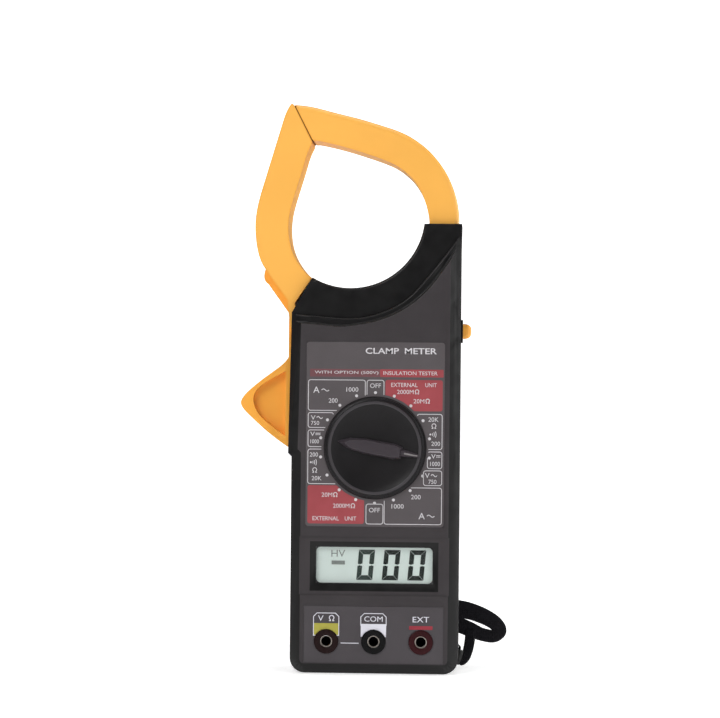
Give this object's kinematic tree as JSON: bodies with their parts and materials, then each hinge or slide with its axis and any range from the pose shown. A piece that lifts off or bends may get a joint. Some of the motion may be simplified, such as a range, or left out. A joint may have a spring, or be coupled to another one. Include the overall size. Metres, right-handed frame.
{
  "type": "clamp meter",
  "caption": "Hand-held current clamp meter: hinged jaw with finger trigger, rotary selector, LCD, hold button, plug sockets, rear battery door and wrist strap.",
  "frame": {"origin": "centre of the case's foot, on the parting plane of the two half shells", "axes": "+Z along the instrument towards the jaws, -Y out of the display face, +X to the right when facing the display"},
  "size_m": [0.1095, 0.0388, 0.2302],
  "materials": {
    "front_shell": "glossy deck, fine-grained face",
    "rear_shell": "fine-grained black",
    "battery_door": "fine-grained black",
    "battery_door_screw": "zinc plated",
    "case_screws": "zinc plated",
    "face_label": "printed grey foil",
    "jack_label": "printed grey foil",
    "lcd_window": "clear",
    "lcd_frame": "satin",
    "lcd_glass": "reflective liquid crystal cell",
    "zebra_strips": "satin",
    "main_pcb": "solder mask",
    "pcb_screws": "zinc plated",
    "converter_ic": "moulded",
    "range_resistors": "lacquered",
    "film_capacitors": "dipped",
    "electrolytic_cap": "sleeved",
    "trimmer_pot": "moulded",
    "ptc_thermistor": "lacquered",
    "piezo_buzzer": "moulded",
    "jack_sleeve_v_ohm": "nickel flashed",
    "jack_sleeve_com": "nickel flashed",
    "jack_sleeve_ext": "nickel flashed",
    "jack_collar_v_ohm": "moulded",
    "jack_collar_com": "moulded",
    "jack_collar_ext": "moulded",
    "battery_9v": "lacquered can",
    "battery_snap": "moulded",
    "battery_lead_red": "insulated wire",
    "battery_lead_black": "insulated wire",
    "fixed_jaw_front": "moulded yellow orange",
    "fixed_jaw_rear": "moulded yellow orange",
    "fixed_core": "laminated electrical steel",
    "coil_bobbin": "moulded",
    "pickup_coil": "enamelled copper winding",
    "coil_leads": "insulated wire",
    "hold_switch": "moulded",
    "hold_bezel": "satin",
    "hold_button": "moulded yellow orange",
    "jaw_pivot_pin": "ground",
    "return_spring": "music wire",
    "moving_jaw_front": "moulded yellow orange",
    "moving_jaw_rear": "moulded yellow orange",
    "moving_core": "laminated electrical steel",
    "jaw_trigger": "moulded yellow orange",
    "selector_knob": "satin black",
    "knob_index_mark": "inlaid",
    "wiper_carrier": "acetal",
    "wiper_contacts": "spring bronze",
    "detent_balls": "polished",
    "detent_springs": "music wire",
    "knob_screw": "zinc plated",
    "strap_anchor_pin": "plated",
    "strap_cord": "braided",
    "strap_bead": "satin",
    "wrist_strap": "woven webbing"
  },
  "bodies": {
    "case": {"front_shell": "front_shell", "rear_shell": "rear_shell", "case_screws": "case_screws", "face_label": "face_label", "jack_label": "jack_label", "lcd_window": "lcd_window", "lcd_frame": "lcd_frame", "lcd_glass": "lcd_glass", "zebra_strips": "zebra_strips", "main_pcb": "main_pcb", "pcb_screws": "pcb_screws", "converter_ic": "converter_ic", "range_resistors": "range_resistors", "film_capacitors": "film_capacitors", "electrolytic_cap": "electrolytic_cap", "trimmer_pot": "trimmer_pot", "ptc_thermistor": "ptc_thermistor", "piezo_buzzer": "piezo_buzzer", "jack_sleeve_v_ohm": "jack_sleeve_v_ohm", "jack_sleeve_com": "jack_sleeve_com", "jack_sleeve_ext": "jack_sleeve_ext", "jack_collar_v_ohm": "jack_collar_v_ohm", "jack_collar_com": "jack_collar_com", "jack_collar_ext": "jack_collar_ext", "battery_9v": "battery_9v", "battery_snap": "battery_snap", "battery_lead_red": "battery_lead_red", "battery_lead_black": "battery_lead_black", "fixed_jaw_front": "fixed_jaw_front", "fixed_jaw_rear": "fixed_jaw_rear", "fixed_core": "fixed_core", "coil_bobbin": "coil_bobbin", "pickup_coil": "pickup_coil", "coil_leads": "coil_leads", "hold_switch": "hold_switch", "hold_bezel": "hold_bezel", "jaw_pivot_pin": "jaw_pivot_pin", "strap_anchor_pin": "strap_anchor_pin"},
    "jaw": {"moving_jaw_front": "moving_jaw_front", "moving_jaw_rear": "moving_jaw_rear", "moving_core": "moving_core", "jaw_trigger": "jaw_trigger", "return_spring": "return_spring"},
    "selector": {"selector_knob": "selector_knob", "knob_index_mark": "knob_index_mark", "wiper_carrier": "wiper_carrier", "wiper_contacts": "wiper_contacts", "detent_balls": "detent_balls", "detent_springs": "detent_springs", "knob_screw": "knob_screw"},
    "button": {"hold_button": "hold_button"},
    "door": {"battery_door": "battery_door", "battery_door_screw": "battery_door_screw"},
    "strap": {"wrist_strap": "wrist_strap", "strap_cord": "strap_cord", "strap_bead": "strap_bead"}
  },
  "joints": [
    {"name": "jaw_hinge", "type": "hinge", "parent": "case", "child": "jaw", "pos_m": [-0.0303, 0, 0.141], "axis": [0, -1, 0], "range_deg": [0, 34], "stiffness_Nm_per_rad": 0.3, "springref_deg": -11.46},
    {"name": "selector_spin", "type": "hinge", "parent": "case", "child": "selector", "pos_m": [0, -0.0165, 0.0912], "axis": [0, -1, 0], "continuous": true},
    {"name": "hold_press", "type": "slide", "parent": "case", "child": "button", "axis": [-1, 0, 0], "range_m": [0, 0.0008], "stiffness_N_per_m": 500},
    {"name": "battery_door_lift", "type": "slide", "parent": "case", "child": "door", "axis": [0, 1, 0], "range_m": [0, 0.025]},
    {"name": "strap_swing", "type": "hinge", "parent": "case", "child": "strap", "pos_m": [0.03, 0.0122, 0.0046], "axis": [0, 1, 0], "range_deg": [-8, 5]}
  ]
}
